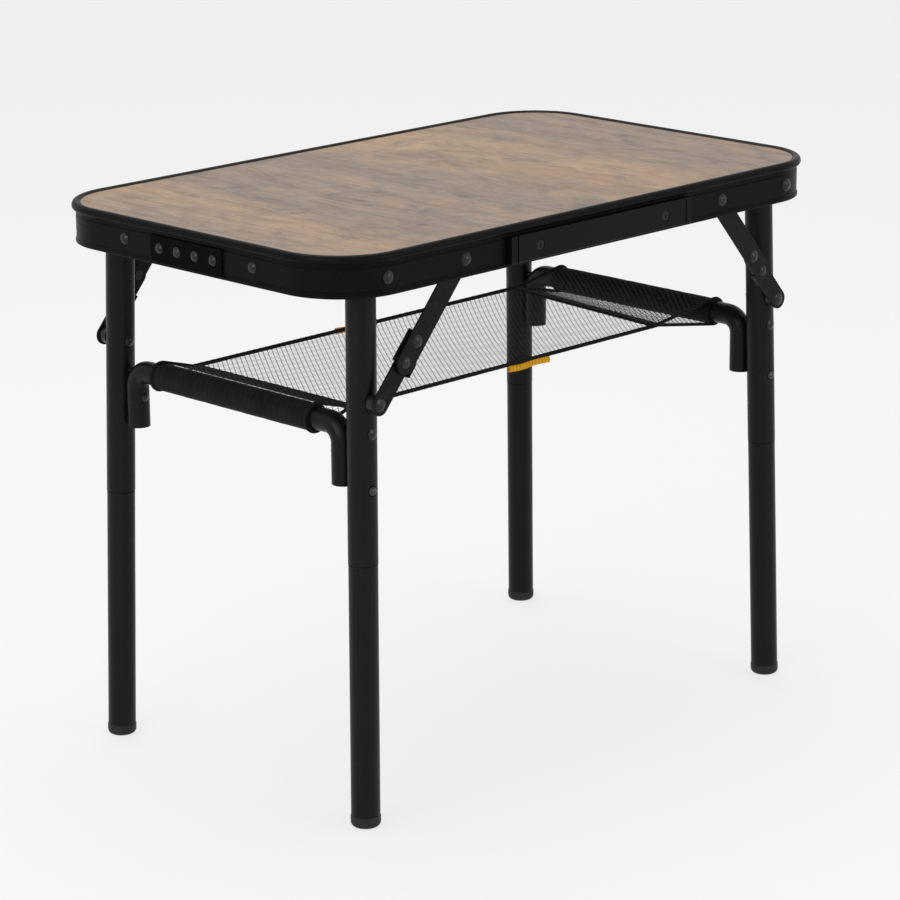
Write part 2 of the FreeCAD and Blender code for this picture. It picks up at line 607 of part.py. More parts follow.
def brace_leg_rivet():
    """Washer and rivet on the leg under the lower link, and the rivet's outer head over it."""
    foot = leg_axis_at(BRACE_LEG_DEPTH)
    leg_face = foot.y - LEG_OD / 2
    washer = rod(V(foot.x, -LOWER_LINK_Y + SMALL_GAP, foot.z), V(0, 1, 0), 6.5,
                 LOWER_LINK_Y + leg_face - 2 * SMALL_GAP - 0.02)
    shank = rod(V(foot.x, leg_face - 3 * SMALL_GAP, foot.z), V(0, 1, 0), BRACE_RIVET_RADIUS, LEG_OD + 5 * SMALL_GAP)
    inner = domed_head(V(foot.x, leg_face + LEG_OD + 2 * SMALL_GAP, foot.z), V(0, 1, 0), 4.4, 1.8)
    outer_face = -LOWER_LINK_Y - LINK_THICKNESS - SMALL_GAP
    outer = domed_head(V(foot.x, outer_face, foot.z), V(0, -1, 0), 5.0, 1.2)
    return [washer.fuse(shank).fuse(inner), outer]


def make_braces():
    """Four jointed braces with their rivets, and the pins and spacers that hang them from the rim."""
    pins = []
    spacers = []
    for corner, (sx, sy) in CORNERS.items():
        save("upper_link_" + corner, mirrored(along_brace(upper_link(), BRACE_TOP), sx, sy))
        save("lower_link_" + corner, mirrored(along_brace(lower_link(), KNEE), sx, sy))
        save("knee_rivets_" + corner, [mirrored(along_brace(r, BRACE_TOP), sx, sy) for r in knee_rivets()])
        start = BRACE_TOP + V(0, -WALL_Y - SMALL_GAP, 0)
        length = WALL_Y - UPPER_LINK_Y + 1.2
        pin = domed_head(start, V(0, -1, 0), 5.2, 2.4)
        pin = pin.fuse(rod(start, V(0, 1, 0), PIN_RADIUS, length))
        pin = pin.fuse(rod(start + V(0, length - 1.1, 0), V(0, 1, 0), 4.5, 1.1))
        pins.append(mirrored(pin, sx, sy))
        spacer_start = -WALL_Y + WALL + SMALL_GAP
        spacer = tube(BRACE_TOP + V(0, spacer_start, 0), V(0, 1, 0), 11.0, 2 * PIN_RADIUS + 0.1,
                      -UPPER_LINK_Y - LINK_THICKNESS - SMALL_GAP - spacer_start)
        spacers.append(mirrored(spacer, sx, sy))
    save("brace_top_pins", pins)
    save("brace_top_spacers", spacers)


# ---------------------------------------------------------------- the shelf
def extruded_xz(points, start_y, length):
    """Prism whose outline is given as x, z pairs and which runs along y."""
    wire = Part.makePolygon([V(x, start_y, z) for x, z in points + points[:1]])
    return Part.Face(wire).extrude(V(0, length, 0))


def make_shelf():
    """Mesh panel between the crossbars with bound edges and two tabs, as plain closed solids."""
    low, high = NET_Z, NET_Z + NET_THICKNESS
    centre_z = leg_axis_at(CROSSBAR_DEPTH).z
    outline = [(-NET_HALF_X, centre_z - LOOP_HALF_HEIGHT), (NET_SEAM_LEFT, low), (NET_SEAM_RIGHT, low),
               (NET_HALF_X, centre_z - LOOP_HALF_HEIGHT), (NET_HALF_X, centre_z + LOOP_HALF_HEIGHT),
               (NET_SEAM_RIGHT, high), (NET_SEAM_LEFT, high), (-NET_HALF_X, centre_z + LOOP_HALF_HEIGHT)]
    panel = extruded_xz(outline, -NET_HALF_Y, 2 * NET_HALF_Y)
    for seam, end in ((NET_SEAM_LEFT, -NET_HALF_X), (NET_SEAM_RIGHT, NET_HALF_X)):
        inward = 1 if end < 0 else -1
        hollow = LOOP_HALF_HEIGHT - LOOP_WALL
        corners = [(end - inward, centre_z - hollow), (seam - inward * LOOP_STITCH, centre_z),
                   (end - inward, centre_z + hollow)]
        panel = panel.cut(extruded_xz(corners, -NET_HALF_Y - 1, 2 * NET_HALF_Y + 2))
    save("shelf_net", panel)
    edges = []
    tabs = []
    middle = NET_Z + NET_THICKNESS / 2
    for sy, tab_x in ((-1, 0.5), (1, -15.0)):
        edge_y = sy * (NET_HALF_Y + BINDING_RADIUS + 0.2)
        edges.append(rod(V(-NET_HALF_X, edge_y, middle), V(1, 0, 0), BINDING_RADIUS, 2 * NET_HALF_X))
        near = sy * (NET_HALF_Y + 2 * BINDING_RADIUS + 0.4)
        far = near + sy * 1.2
        tabs.append(box((tab_x - TAB_HALF, min(near, far), middle - 5.5),
                        (tab_x + TAB_HALF, max(near, far), middle + 1.5)))
    save("shelf_edge_binding", edges)
    save("shelf_pull_tabs", tabs)


os.makedirs("parts", exist_ok=True)
table_rim = make_rim()
make_board()
make_splice()
make_handle()
make_leg_pins(table_rim)
make_legs()
make_crossbars()
make_braces()
make_shelf()
print("links: upper %.2f lower %.2f" % (UPPER_LINK_LENGTH, LOWER_LINK_LENGTH))
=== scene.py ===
import math

import bmesh
import bpy
import numpy as np
from mathutils import Matrix, Vector


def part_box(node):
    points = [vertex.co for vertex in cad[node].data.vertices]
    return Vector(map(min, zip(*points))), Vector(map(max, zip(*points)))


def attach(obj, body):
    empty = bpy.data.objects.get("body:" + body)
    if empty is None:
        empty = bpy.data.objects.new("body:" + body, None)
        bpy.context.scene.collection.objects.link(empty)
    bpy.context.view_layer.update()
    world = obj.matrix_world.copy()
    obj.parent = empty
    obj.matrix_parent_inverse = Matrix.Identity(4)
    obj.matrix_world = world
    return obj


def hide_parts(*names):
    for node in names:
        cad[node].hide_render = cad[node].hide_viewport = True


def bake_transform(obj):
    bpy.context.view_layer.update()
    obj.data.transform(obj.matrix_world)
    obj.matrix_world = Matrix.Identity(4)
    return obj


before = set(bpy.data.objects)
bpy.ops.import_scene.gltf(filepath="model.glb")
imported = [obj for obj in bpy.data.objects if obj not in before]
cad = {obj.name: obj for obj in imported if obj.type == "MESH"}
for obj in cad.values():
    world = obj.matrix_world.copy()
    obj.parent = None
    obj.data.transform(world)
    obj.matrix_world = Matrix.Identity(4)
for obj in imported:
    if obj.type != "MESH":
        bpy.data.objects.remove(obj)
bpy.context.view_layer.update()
corners = ("front_left", "rear_left", "front_right", "rear_right")


# ---------------------------------------------------------------- tabletop board
# A thin board pressed under the rim's lip. Its face is a matt wood print: greyish oak with
# golden bands and darker smudges, the grain running across the table.
def plain_finish(name, colour, roughness, metal=0.0, gloss=0.5):
    """A finish of one colour; returns it with its nodes, its links and its shader."""
    finish = bpy.data.materials.new(name)
    finish.use_nodes = True
    nodes, links = finish.node_tree.nodes, finish.node_tree.links
    shader = nodes["Principled BSDF"]
    shader.inputs["Base Color"].default_value = (*colour, 1.0)
    shader.inputs["Roughness"].default_value = roughness
    shader.inputs["Metallic"].default_value = metal
    shader.inputs["Specular IOR Level"].default_value = gloss
    return finish, nodes, links, shader


def grain(nodes, links, stretch, detail=4.0, rough=0.55, warp=0.0, coords="Object"):
    """Noise whose cells per metre along x, y and z are the three numbers of stretch."""
    place = nodes.new("ShaderNodeTexCoord")
    turn = nodes.new("ShaderNodeMapping")
    turn.inputs["Scale"].default_value = stretch
    noise = nodes.new("ShaderNodeTexNoise")
    noise.inputs["Scale"].default_value = 1.0
    noise.inputs["Detail"].default_value = detail
    noise.inputs["Roughness"].default_value = rough
    noise.inputs["Distortion"].default_value = warp
    links.new(place.outputs[coords], turn.inputs["Vector"])
    links.new(turn.outputs["Vector"], noise.inputs["Vector"])
    return noise.outputs["Fac"]


def shades(nodes, links, factor, stops):
    """Colour ramp over factor, from (position, colour) pairs."""
    ramp = nodes.new("ShaderNodeValToRGB")
    while len(ramp.color_ramp.elements) < len(stops):
        ramp.color_ramp.elements.new(0.5)
    for element, (position, colour) in zip(ramp.color_ramp.elements, stops):
        element.position = position
        element.color = (*colour, 1.0)
    links.new(factor, ramp.inputs["Fac"])
    return ramp.outputs["Color"]


def greys(*stops):
    """Stops for shades(), from (position, grey level) pairs."""
    return [(position, (level, level, level)) for position, level in stops]


def blended(nodes, links, first, second, share, kind="MIX"):
    """Mix of two colours: the share, from 0 to 1, is the second one's part."""
    mix = nodes.new("ShaderNodeMix")
    mix.data_type = "RGBA"
    mix.blend_type = kind
    links.new(first, mix.inputs["A"])
    links.new(second, mix.inputs["B"])
    mix.inputs["Factor"].default_value = share
    return mix.outputs["Result"]


def spread(nodes, links, factor, low, high):
    """Noise factor (mostly 0.3 to 0.7) stretched to run from low to high."""
    span = nodes.new("ShaderNodeMapRange")
    span.inputs["From Min"].default_value = 0.3
    span.inputs["From Max"].default_value = 0.7
    span.inputs["To Min"].default_value = low
    span.inputs["To Max"].default_value = high
    links.new(factor, span.inputs["Value"])
    return span.outputs["Result"]


def raised(nodes, links, shader, height, depth):
    """Bump on the shader's normal, the height's range being depth in metres."""
    bump = nodes.new("ShaderNodeBump")
    bump.inputs["Strength"].default_value = 1.0
    bump.inputs["Distance"].default_value = depth
    links.new(height, bump.inputs["Height"])
    links.new(bump.outputs["Normal"], shader.inputs["Normal"])


def dress(finish, *names):
    """Every material slot of these CAD nodes gets the finish."""
    for name in names:
        for place in cad[name].material_slots:
            place.material = finish


wood, nodes, links, shader = plain_finish("wood_print", (0.19, 0.135, 0.1), 0.45, 0.0, 0.25)
place = nodes.new("ShaderNodeTexCoord")
across = nodes.new("ShaderNodeSeparateXYZ")
links.new(place.outputs["Object"], across.inputs["Vector"])

# The bands lie side by side along the table, and a slow noise bends them.
band_drift = 0.11
first_band_x, last_band_x = -0.225, 0.335
drift = nodes.new("ShaderNodeMath")
drift.operation = "MULTIPLY_ADD"
drift.inputs[1].default_value = band_drift
links.new(grain(nodes, links, (9.0, 5.0, 9.0), 4.0, 0.6), drift.inputs[0])
links.new(across.outputs["X"], drift.inputs[2])
position = nodes.new("ShaderNodeMapRange")
position.inputs["From Min"].default_value = first_band_x
position.inputs["From Max"].default_value = last_band_x
links.new(drift.outputs["Value"], position.inputs["Value"])
cool, plain, warm = (0.15, 0.112, 0.088), (0.176, 0.127, 0.093), (0.222, 0.149, 0.092)
ground = shades(nodes, links, position.outputs["Result"],
                [(0.02, plain), (0.13, warm), (0.24, cool), (0.36, plain), (0.46, cool),
                 (0.6, warm), (0.7, warm), (0.84, cool), (0.96, plain)])

smudges = shades(nodes, links, grain(nodes, links, (22.0, 14.0, 22.0), 6.0, 0.66, 1.6),
                 [(0.34, (0.68, 0.68, 0.71)), (0.46, (0.96, 0.96, 0.96)), (0.64, (1.19, 1.12, 1.0))])
toned = blended(nodes, links, ground, smudges, 1.0, "MULTIPLY")

# Growth rings: long ovals round one point, distorted.
oval = nodes.new("ShaderNodeMapping")
oval.inputs["Location"].default_value = (-1.8, 0.55, 0.0)
oval.inputs["Scale"].default_value = (30.0, 9.0, 30.0)
flames = nodes.new("ShaderNodeTexWave")
flames.wave_type, flames.rings_direction = "RINGS", "SPHERICAL"
flames.inputs["Scale"].default_value = 1.0
flames.inputs["Distortion"].default_value = 4.0
flames.inputs["Detail"].default_value = 3.0
flames.inputs["Detail Scale"].default_value = 1.6
links.new(place.outputs["Object"], oval.inputs["Vector"])
links.new(oval.outputs["Vector"], flames.inputs["Vector"])
rings = shades(nodes, links, flames.outputs["Fac"],
               [(0.0, (0.86, 0.85, 0.84)), (0.3, (1.0, 1.0, 1.0)), (1.0, (1.04, 1.03, 1.02))])
toned = blended(nodes, links, toned, rings, 1.0, "MULTIPLY")

long_grain = grain(nodes, links, (150.0, 26.0, 150.0), 6.0, 0.66, 1.4)
streaks = shades(nodes, links, long_grain,
                 [(0.32, (0.88, 0.87, 0.86)), (0.5, (1.0, 1.0, 1.0)), (0.66, (1.07, 1.06, 1.04))])
toned = blended(nodes, links, toned, streaks, 1.0, "MULTIPLY")
pores = shades(nodes, links, grain(nodes, links, (900.0, 60.0, 900.0), 2.0, 0.5),
               [(0.33, (0.62, 0.6, 0.6)), (0.43, (1.0, 1.0, 1.0))])
toned = blended(nodes, links, toned, pores, 0.6, "MULTIPLY")
links.new(toned, shader.inputs["Base Color"])
links.new(spread(nodes, links, long_grain, 0.52, 0.4), shader.inputs["Roughness"])
raised(nodes, links, shader, long_grain, 0.00008)
dress(wood, "tabletop_board")

# ---------------------------------------------------------------- rim, splice plate and rivets
# An extruded aluminium rim bent round four corners and joined by a riveted steel plate on the
# left. It is anodised black, with fine drawn lines along it and a soft sheen on the bead.
rim_black, nodes, links, shader = plain_finish("black_anodised_rim", (0.004,) * 3, 0.3, 0.0, 0.1)
shader.inputs["IOR"].default_value = 1.35
drawn = grain(nodes, links, (1.2, 1.2, 1500.0), 3.0, 0.6)
speckle = grain(nodes, links, (700.0, 700.0, 700.0), 2.0, 0.5)
links.new(spread(nodes, links, drawn, 0.31, 0.46), shader.inputs["Roughness"])
links.new(shades(nodes, links, speckle, [(0.3, (0.002, 0.002, 0.002)), (0.7, (0.004, 0.004, 0.0038))]),
          shader.inputs["Base Color"])
raised(nodes, links, shader, drawn, 0.00006)
dress(rim_black, "rim_frame")

plate_black, nodes, links, shader = plain_finish("black_steel_plate", (0.003,) * 3, 0.4, 0.0, 0.06)
shader.inputs["IOR"].default_value = 1.22
pickled = grain(nodes, links, (420.0, 420.0, 420.0), 4.0, 0.6)
links.new(spread(nodes, links, pickled, 0.34, 0.5), shader.inputs["Roughness"])
links.new(shades(nodes, links, pickled, greys((0.3, 0.0015), (0.7, 0.0035))), shader.inputs["Base Color"])
raised(nodes, links, shader, pickled, 0.00005)
dress(plate_black, "rim_splice_plate")

rivet_gloss, nodes, links, shader = plain_finish("blackened_rivet_heads", (0.006,) * 3, 0.24, 0.0, 0.25)
struck = grain(nodes, links, (520.0, 520.0, 520.0), 3.0, 0.55)
links.new(spread(nodes, links, struck, 0.15, 0.32), shader.inputs["Roughness"])
links.new(shades(nodes, links, struck, greys((0.3, 0.006), (0.7, 0.014))), shader.inputs["Base Color"])
raised(nodes, links, shader, struck, 0.00003)
dress(rivet_gloss, "rim_splice_rivets", "rim_side_rivets", "left_crossbar_rivets",
      "right_crossbar_rivets", "left_brace_leg_rivets", "right_brace_leg_rivets", "leg_pivot_pins",
      "brace_top_pins")
for corner in corners:
    dress(rivet_gloss, "knee_rivets_" + corner)

# ---------------------------------------------------------------- carry handle
# A shallow black steel channel is held off the front wall by two nylon spacers and two
# recessed screws. The same nylon makes the bushes, spacers and plugs of the legs.
handle_black, nodes, links, shader = plain_finish("black_coated_handle", (0.003,) * 3, 0.34, 0.0, 0.08)
skin = grain(nodes, links, (900.0, 900.0, 900.0), 2.0, 0.5)
sweep = grain(nodes, links, (14.0, 14.0, 60.0), 2.0, 0.5)
links.new(spread(nodes, links, sweep, 0.28, 0.4), shader.inputs["Roughness"])
links.new(shades(nodes, links, skin, greys((0.3, 0.002), (0.7, 0.004))), shader.inputs["Base Color"])
raised(nodes, links, shader, skin, 0.00003)
dress(handle_black, "carry_handle")

screw_black, nodes, links, shader = plain_finish("blackened_screws", (0.007,) * 3, 0.28, 0.0, 0.2)
turned = grain(nodes, links, (800.0, 800.0, 800.0), 3.0, 0.6)
links.new(spread(nodes, links, turned, 0.24, 0.42), shader.inputs["Roughness"])
raised(nodes, links, shader, turned, 0.00003)
dress(screw_black, "handle_screws")

nylon, nodes, links, shader = plain_finish("black_nylon", (0.005,) * 3, 0.5, 0.0, 0.25)
mould = grain(nodes, links, (650.0, 650.0, 650.0), 3.0, 0.6)
links.new(spread(nodes, links, mould, 0.44, 0.6), shader.inputs["Roughness"])
raised(nodes, links, shader, mould, 0.00006)
dress(nylon, "handle_spacers", "leg_pivot_bushes", "brace_top_spacers", "left_leg_plugs",
      "right_leg_plugs")

# ---------------------------------------------------------------- legs, crossbars and feet
# Steel tubes with a semi-gloss black powder coat, which has a fine orange-peel skin. The caps
# are moulded plastic pushed on the ends, worn a little grey where they meet the ground.
powder, nodes, links, shader = plain_finish("black_powder_coat", (0.005,) * 3, 0.32, 0.0, 0.13)
peel = grain(nodes, links, (1300.0, 1300.0, 1300.0), 2.0, 0.5)
cloud = grain(nodes, links, (30.0, 30.0, 12.0), 3.0, 0.6)
links.new(spread(nodes, links, cloud, 0.28, 0.4), shader.inputs["Roughness"])
links.new(shades(nodes, links, peel, greys((0.3, 0.003), (0.7, 0.006))), shader.inputs["Base Color"])
raised(nodes, links, shader, peel, 0.00002)
dress(powder, "left_crossbar", "right_crossbar")
for corner in corners:
    dress(powder, "upper_leg_" + corner, "lower_leg_" + corner)

foot_black, nodes, links, shader = plain_finish("moulded_foot", (0.008,) * 3, 0.55, 0.0, 0.25)
pebble = grain(nodes, links, (900.0, 900.0, 900.0), 3.0, 0.6)
scuff = grain(nodes, links, (160.0, 160.0, 160.0), 4.0, 0.65)
links.new(shades(nodes, links, scuff, greys((0.35, 0.006), (0.6, 0.011)) + [(0.72, (0.03, 0.029, 0.028))]),
          shader.inputs["Base Color"])
links.new(spread(nodes, links, pebble, 0.48, 0.64), shader.inputs["Roughness"])
raised(nodes, links, shader, pebble, 0.00006)

steel_button, nodes, links, shader = plain_finish("button_steel", (0.05,) * 3, 0.24, 0.9)
polish = grain(nodes, links, (900.0, 900.0, 900.0), 2.0, 0.5)
links.new(spread(nodes, links, polish, 0.2, 0.36), shader.inputs["Roughness"])
raised(nodes, links, shader, polish, 0.00002)
for corner in corners:
    dress(foot_black, "foot_cap_" + corner)
    dress(steel_button, "snap_button_" + corner, "button_spring_" + corner)

# ---------------------------------------------------------------- button springs
# Behind each button a folded leaf spring presses it out; the copy here is one rigid piece.
spring_steel, nodes, links, shader = plain_finish("spring_steel", (0.2,) * 3, 0.35, 0.9)
temper = grain(nodes, links, (300.0, 300.0, 300.0), 3.0, 0.5)
links.new(spread(nodes, links, temper, 0.28, 0.45), shader.inputs["Roughness"])
raised(nodes, links, shader, temper, 0.00002)
for corner in corners:
    spring = bpy.data.objects.new("leaf_spring_" + corner, cad["button_spring_" + corner].data.copy())
    bpy.context.collection.objects.link(spring)
    melted = bmesh.new()
    melted.from_mesh(spring.data)
    bmesh.ops.remove_doubles(melted, verts=melted.verts, dist=1e-6)
    melted.to_mesh(spring.data)
    melted.free()
    spring.data.materials.clear()
    spring.data.materials.append(spring_steel)
    low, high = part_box("button_spring_" + corner)
    inner, outer = (high[1], low[1]) if corner.startswith("front") else (low[1], high[1])
    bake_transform(spring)
    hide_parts("button_spring_" + corner)

# ---------------------------------------------------------------- braces
# Pressed flat links of coated strip steel, with the coat rubbed thin at the edges.
strip, nodes, links, shader = plain_finish("coated_strip_steel", (0.004,) * 3, 0.38, 0.0, 0.1)
rolled = grain(nodes, links, (260.0, 260.0, 260.0), 4.0, 0.6)
links.new(spread(nodes, links, rolled, 0.3, 0.46), shader.inputs["Roughness"])
links.new(shades(nodes, links, rolled, greys((0.3, 0.0022), (0.6, 0.0045), (0.75, 0.01))),
          shader.inputs["Base Color"])
raised(nodes, links, shader, rolled, 0.00004)
for corner in corners:
    dress(strip, "upper_link_" + corner, "lower_link_" + corner)

# ---------------------------------------------------------------- shelf sleeves
# A cloth tube round each crossbar, drawn tight, with small wrinkles and a lapped seam below.
bar_low, bar_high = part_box("left_shelf_sleeve")
bar_x = 0.5 * (bar_low[0] + bar_high[0])
bar_z = 0.5 * (bar_low[2] + bar_high[2])
sleeve_r = 0.5 * (bar_high[2] - bar_low[2])
sleeve_half = 0.5 * (bar_high[1] - bar_low[1])


def grid_piece(name, points, wrap_u=False, wrap_v=False):
    """Surface through a grid of points (rows u, columns v), joined up where it wraps."""
    rows, columns = points.shape[:2]
    index = np.arange(rows * columns).reshape(rows, columns)
    along = np.concatenate([index, index[:1]]) if wrap_u else index
    along = np.concatenate([along, along[:, :1]], axis=1) if wrap_v else along
    quads = np.stack([along[:-1, :-1], along[1:, :-1], along[1:, 1:], along[:-1, 1:]], axis=-1)
    return mesh_piece(name, points.reshape(-1, 3), quads.reshape(-1, 4))


def mesh_piece(name, points, faces):
    """Smooth-shaded object at the origin from arrays of points and of equal-sided faces."""
    mesh = bpy.data.meshes.new(name)
    sides = faces.shape[1]
    mesh.vertices.add(len(points))
    mesh.vertices.foreach_set("co", np.asarray(points, np.float32).ravel())
    mesh.loops.add(faces.size)
    mesh.loops.foreach_set("vertex_index", faces.astype(np.int32).ravel())
    mesh.polygons.add(len(faces))
    mesh.polygons.foreach_set("loop_start", np.arange(0, faces.size, sides, dtype=np.int32))
    mesh.update(calc_edges=True)
    mesh.validate()
    mesh.polygons.foreach_set("use_smooth", np.ones(len(mesh.polygons), bool))
    piece = bpy.data.objects.new(name, mesh)
    bpy.context.collection.objects.link(piece)
    return piece


def woven(name, dark, light, threads, depth, rough=0.85):
    """Plain-weave cloth: two crossed bands of threads per metre, in object coordinates, with painted shade
    between the threads and a painted highlight on their crowns.
    """
    finish, nodes, links, shader = plain_finish(name, light, rough, 0.0, 0.12)
    shader.inputs["Sheen Weight"].default_value = 0.01
    place = nodes.new("ShaderNodeTexCoord")
    heights = []
    for direction in ("X", "Y"):
        wave = nodes.new("ShaderNodeTexWave")
        wave.bands_direction = direction
        wave.inputs["Scale"].default_value = threads / 20.0
        wave.inputs["Distortion"].default_value = 0.6
        wave.inputs["Detail"].default_value = 1.0
        wave.inputs["Detail Scale"].default_value = 2.0
        links.new(place.outputs["Object"], wave.inputs["Vector"])
        heights.append(wave.outputs["Color"])
    crossed = blended(nodes, links, heights[0], heights[1], 0.5)
    tone = grain(nodes, links, (60.0, 60.0, 60.0), 4.0, 0.6)
    shade = shades(nodes, links, tone, [(0.32, dark), (0.68, light)])
    # The crossed threads also scale the colour: painted shade in the gaps between threads (down to 0.7) and a
    # painted highlight on their crowns (up to 1.1).
    weave_shade_and_highlight = shades(nodes, links, crossed, [(0.2, (0.7, 0.7, 0.7)), (0.8, (1.1, 1.1, 1.1))])
    links.new(blended(nodes, links, shade, weave_shade_and_highlight, 1.0, "MULTIPLY"), shader.inputs["Base Color"])
    raised(nodes, links, shader, crossed, depth)
    return finish


# Each sleeve's radius is its rest radius, drawn in at the ends, with two crossed sine waves for
# the wrinkles and a narrow bell-shaped ridge for the lap. The inner wall is a plain cylinder.
sleeve_cloth = woven("black_sleeve_cloth", (0.003, 0.003, 0.003), (0.0075, 0.0073, 0.007), 1100.0, 0.00006)
lap_angle, lap_spread, lap_rise = 4.4, 0.09, 0.0005
rest_inset, cloth_thickness = 0.0009, 0.001
for side, sx in (("left", 1.0), ("right", -1.0)):
    around = np.linspace(0.0, 2 * np.pi, 97)[:-1][:, None]
    along = np.linspace(-1.0, 1.0, 181)[None, :]
    drawn_in = 0.00035 * (1 - np.abs(along) ** 14)
    wrinkle = 0.00007 * np.sin(3 * around + 19 * along) * np.sin(23 * along + 2 * around)
    wrinkle = wrinkle + 0.00005 * np.sin(5 * around - 17 * along + 1.3)
    lap = lap_rise * np.exp(-((around - lap_angle) / lap_spread) ** 2)
    radius = sleeve_r - rest_inset + drawn_in + wrinkle * (1 - along ** 8) + lap
    outer = np.stack([sx * bar_x + radius * np.cos(around), sleeve_half * along + 0 * around,
                      bar_z + radius * np.sin(around)], axis=-1)
    inner_r = sleeve_r - rest_inset - cloth_thickness + 0 * along
    inner = np.stack([sx * bar_x + inner_r * np.cos(around), sleeve_half * along + 0 * around,
                      bar_z + inner_r * np.sin(around)], axis=-1)
    both = np.concatenate([outer, inner[:, ::-1]], axis=1)
    sleeve = grid_piece(side + "_sleeve_cloth", both[::-1], wrap_u=True, wrap_v=True)
    sleeve.data.materials.append(sleeve_cloth)
    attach(sleeve, side + "_frame")
    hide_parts(side + "_shelf_sleeve")

# ---------------------------------------------------------------- shelf net
# Knotted black netting, stretched between the crossbars. Each end is folded round its sleeve
# and sewn back to itself, so a flat loop of two layers joins the bar to the single panel.
net_z = 0.3134
net_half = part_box("shelf_net")[1][1]
cell_x, cell_y = 0.0049, 0.0066
knot_length, knot_width = 0.0011, 1.45
thread_half_width, thread_half_height = 0.00023, 0.00009
middle_x = -0.015
panel_sag, sag_reach = 0.0016, 0.19
seam_left = (-0.195, -0.196)
seam_right = (0.156, 0.174)


def seam_at(side, y):
    """x of the sewn seam at y: a straight line from its front end to its rear end."""
    front, rear = seam_left if side < 0 else seam_right
    return front + (rear - front) * (y / net_half * 0.5 + 0.5)


def tangent(side, y, upper):
    """Point on the sleeve where a straight layer from the seam touches it: the angle whose cosine
    is the sleeve's radius over the seam's distance."""
    gap = np.abs(seam_at(side, y) - side * abs(bar_x))
    turn = np.arccos((sleeve_r - 0.0003) / gap)
    radius = sleeve_r - 0.0002
    sign = 1.0 if upper else -1.0
    return side * abs(bar_x) - side * radius * np.cos(turn), bar_z + sign * radius * np.sin(turn)


def layer(side, kind):
    """Function of (share of the way, y) that gives points. The panel runs level from the seam to
    the middle, less a sag that is a parabola both ways. A loop's layer runs straight from the
    sleeve to the seam, less half a sine of slack."""
    def panel(t, y):
        seam = seam_at(side, y)
        x = seam + (middle_x - seam) * t
        reach = np.clip(np.abs(x - middle_x) / sag_reach, 0, 1)
        sag = panel_sag * (1 - (y / net_half) ** 2) * (1 - reach ** 2)
        return np.stack([x, y, net_z - sag], axis=-1)

    def loop(t, y):
        seam = seam_at(side, y)
        start_x, start_z = tangent(side, y, kind == "upper")
        slack = -0.0008 * np.sin(np.pi * t)
        end_z = net_z + (0.0004 if kind == "upper" else -0.0004)
        return np.stack([start_x + (seam - start_x) * t, y,
                         start_z + (end_z - start_z) * t + slack], axis=-1)

    return panel if kind == "panel" else loop


def knotted(surface, length, half):
    """Netting on a surface. Knots stand in rows half a cell apart and staggered; each knot is a
    short thread along y, and two slanting threads lead to the next row. Each thread is a flat
    four-sided bar."""
    rows = int(2 * half / (cell_y / 2))
    across = int(length / cell_x) + 1
    step_u, step_v = length / across, 2 * half / rows
    knot = knot_length / 2
    j, i = np.meshgrid(np.arange(rows + 1), np.arange(across + 1), indexing="ij")
    u = (i + 0.5 * (j % 2)) * step_u
    v = -half + j * step_v
    keep = u <= length + 1e-9
    u, v, j = u[keep], v[keep], j[keep]
    starts, ends, wide = [], [], []
    starts.append(np.stack([u, np.clip(v - knot, -half, half)], -1))
    ends.append(np.stack([u, np.clip(v + knot, -half, half)], -1))
    wide.append(np.full(len(u), knot_width))
    for lean in (-0.5, 0.5):
        ok = (j < rows) & (u + lean * step_u >= -1e-9) & (u + lean * step_u <= length + 1e-9)
        starts.append(np.stack([u[ok], v[ok] + knot], -1))
        ends.append(np.stack([u[ok] + lean * step_u, v[ok] + step_v - knot], -1))
        wide.append(np.full(ok.sum(), 1.0))
    a, b, wide = np.concatenate(starts), np.concatenate(ends), np.concatenate(wide)
    p = surface(a[:, 0] / length, a[:, 1])
    q = surface(b[:, 0] / length, b[:, 1])
    way = (q - p) / np.linalg.norm(q - p, axis=1, keepdims=True)
    side = np.cross(way, np.array([0.0, 0.0, 1.0]))
    side /= np.linalg.norm(side, axis=1, keepdims=True)
    up = np.cross(side, way)
    # The bar's cross-section, then its two rings of corners, then its six walls.
    over = thread_half_width * np.array([1.0, -1.0, -1.0, 1.0])
    rise = thread_half_height * np.array([1.0, 1.0, -1.0, -1.0])
    ring = side[:, None] * (over[None] * wide[:, None])[:, :, None] + up[:, None] * rise[None, :, None]
    points = np.concatenate([p[:, None] + ring, q[:, None] + ring], axis=1)
    walls = np.array([[0, 1, 5, 4], [1, 2, 6, 5], [2, 3, 7, 6],
                      [3, 0, 4, 7], [3, 2, 1, 0], [4, 5, 6, 7]])
    faces = walls[None] + 8 * np.arange(len(points))[:, None, None]
    return points.reshape(-1, 3), faces.reshape(-1, 4)


net_black, nodes, links, shader = plain_finish("black_netting", (0.006,) * 3, 0.6, 0.0, 0.15)
twist = grain(nodes, links, (2500.0, 2500.0, 2500.0), 2.0, 0.5)
links.new(shades(nodes, links, twist, greys((0.3, 0.004), (0.7, 0.009))), shader.inputs["Base Color"])
links.new(spread(nodes, links, twist, 0.5, 0.7), shader.inputs["Roughness"])
raised(nodes, links, shader, twist, 0.00004)
net_pieces = {}
for side, name in ((-1, "left"), (1, "right")):
    parts, total, flat_length = [], 0, 0.0
    mean_seam = seam_at(side, 0.0)
    edge = net_half - 0.0005
    loop_length = abs(mean_seam - side * abs(bar_x)) - 0.003
    lengths = {"panel": abs(mean_seam - middle_x), "upper": loop_length, "lower": loop_length}
    for kind, length in lengths.items():
        points, faces = knotted(layer(side, kind), length, edge)
        parts.append((points, faces + total))
        total += len(points)
        flat_length += length
    net = mesh_piece("shelf_net_" + name, np.concatenate([p for p, _ in parts]),
                     np.concatenate([f for _, f in parts]))
    net.data.materials.append(net_black)
    net_pieces[name] = (net, flat_length)

